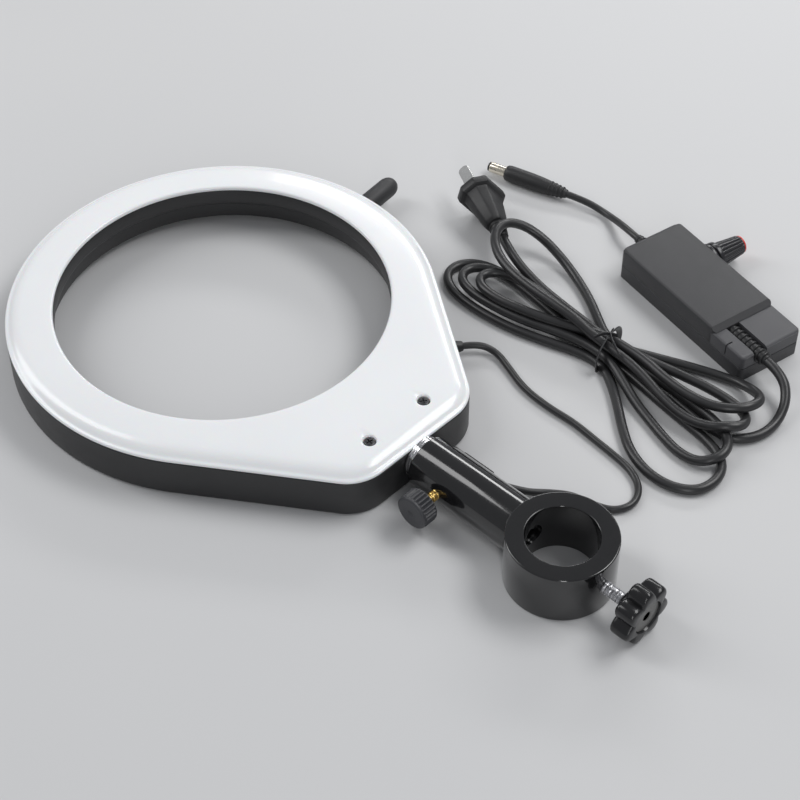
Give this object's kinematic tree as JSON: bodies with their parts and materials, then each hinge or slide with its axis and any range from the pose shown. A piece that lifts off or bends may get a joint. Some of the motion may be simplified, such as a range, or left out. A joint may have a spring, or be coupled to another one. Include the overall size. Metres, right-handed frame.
{
  "type": "microscope ring light",
  "caption": "Teardrop ring light on an arm with a post clamp, locking thumbscrew and star knob, with a dimmable mains adapter, its cords and plugs.",
  "frame": {"origin": "where the axis of the clamp collar's bore crosses the axis of the arm, in the middle of the bore", "axes": "+Z along the post bore, up when the part lies on its back with the diffuser up; +X along the arm towards the lamp head"},
  "size_m": [0.3675, 0.3256, 0.028],
  "materials": {
    "black_housing": "satin",
    "black_gloss": "gloss",
    "opal": "gloss",
    "chrome": "polished",
    "zinc": "zinc plated",
    "brass": "turned",
    "black_knob": "gloss",
    "black_knurl": "satin",
    "circuit_board": "matte",
    "green_board": "matte",
    "led": "gloss",
    "nylon": "matte",
    "cord": "satin",
    "adapter_case": "fine matt grain",
    "red_cap": "gloss",
    "component": "matte",
    "copper": "taped winding",
    "aluminium": "plain",
    "plug_brass": "nickel plated"
  },
  "bodies": {
    "arm": {"post_collar": "black_gloss", "arm_bolt": "zinc", "arm_tube": "black_gloss", "adapter_base": "adapter_case", "adapter_cover": "adapter_case", "adapter_board": "green_board", "transformer": "copper", "capacitors": "component", "heat_sink": "aluminium", "fuse": "nylon", "dimmer_pot": "component", "dimmer_flange": "adapter_case", "dc_relief": "cord", "dc_cord": "cord", "dc_plug_body": "cord", "dc_plug_barrel": "plug_brass", "dc_plug_sleeve": "component", "ac_relief": "cord", "mains_lead": "cord", "mains_hank": "cord", "hank_tie": "cord", "mains_plug_body": "cord", "mains_plug_pins": "plug_brass"},
    "ring": {"lock_ring": "chrome"},
    "head": {"head_housing": "black_housing", "diffuser": "opal", "diffuser_screws": "zinc", "led_board": "circuit_board", "board_screws": "zinc", "leds": "led", "terminal_block": "nylon", "arm_spigot": "chrome", "backing_plate": "zinc", "spigot_nut": "zinc", "side_grip": "black_housing", "grip_screw": "zinc", "lead_gland": "cord", "inner_wires": "cord", "lamp_lead": "cord", "lead_socket": "cord", "socket_relief": "cord", "socket_pin": "plug_brass"},
    "thumb_shoe": {"thumb_shoe": "brass"},
    "thumbscrew": {"thumb_stud": "brass", "thumb_knob": "black_knurl"},
    "clamp_pad": {"clamp_pad": "nylon"},
    "clamp_screw": {"clamp_stud": "zinc", "star_knob": "black_knob"},
    "dimmer": {"dimmer_shaft": "zinc", "dimmer_knob": "black_knurl", "dimmer_cap": "red_cap"}
  },
  "joints": [
    {"name": "head_slide", "type": "slide", "parent": "arm", "child": "ring", "axis": [1, 0, 0], "range_m": [0, 0.015]},
    {"name": "head_roll", "type": "hinge", "parent": "ring", "child": "head", "pos_m": [0.082, 0, 0], "axis": [1, 0, 0], "range_deg": [-90, 90]},
    {"name": "thumb_travel", "type": "slide", "parent": "arm", "child": "thumb_shoe", "axis": [0, 1, 0], "range_m": [0, 0.0031]},
    {"name": "thumb_turn", "type": "hinge", "parent": "thumb_shoe", "child": "thumbscrew", "pos_m": [0.063, 0.0125, 0], "axis": [0, 1, 0], "range_deg": [0, 1350]},
    {"name": "clamp_travel", "type": "slide", "parent": "arm", "child": "clamp_pad", "axis": [1, 0, 0], "range_m": [0, 0.0081]},
    {"name": "clamp_turn", "type": "hinge", "parent": "clamp_pad", "child": "clamp_screw", "pos_m": [-0.025, 0, 0], "axis": [1, 0, 0], "range_deg": [0, 2880]},
    {"name": "dimmer_turn", "type": "hinge", "parent": "arm", "child": "dimmer", "pos_m": [0.07407, -0.19927, -0.004], "axis": [-0.2079, -0.9781, 0], "range_deg": [-150, 150]}
  ],
  "couplings": [
    {"joint": "thumb_travel", "follows": "thumb_turn", "m_per_rad": 0.00012732},
    {"joint": "clamp_travel", "follows": "clamp_turn", "m_per_rad": 0.00015915}
  ]
}
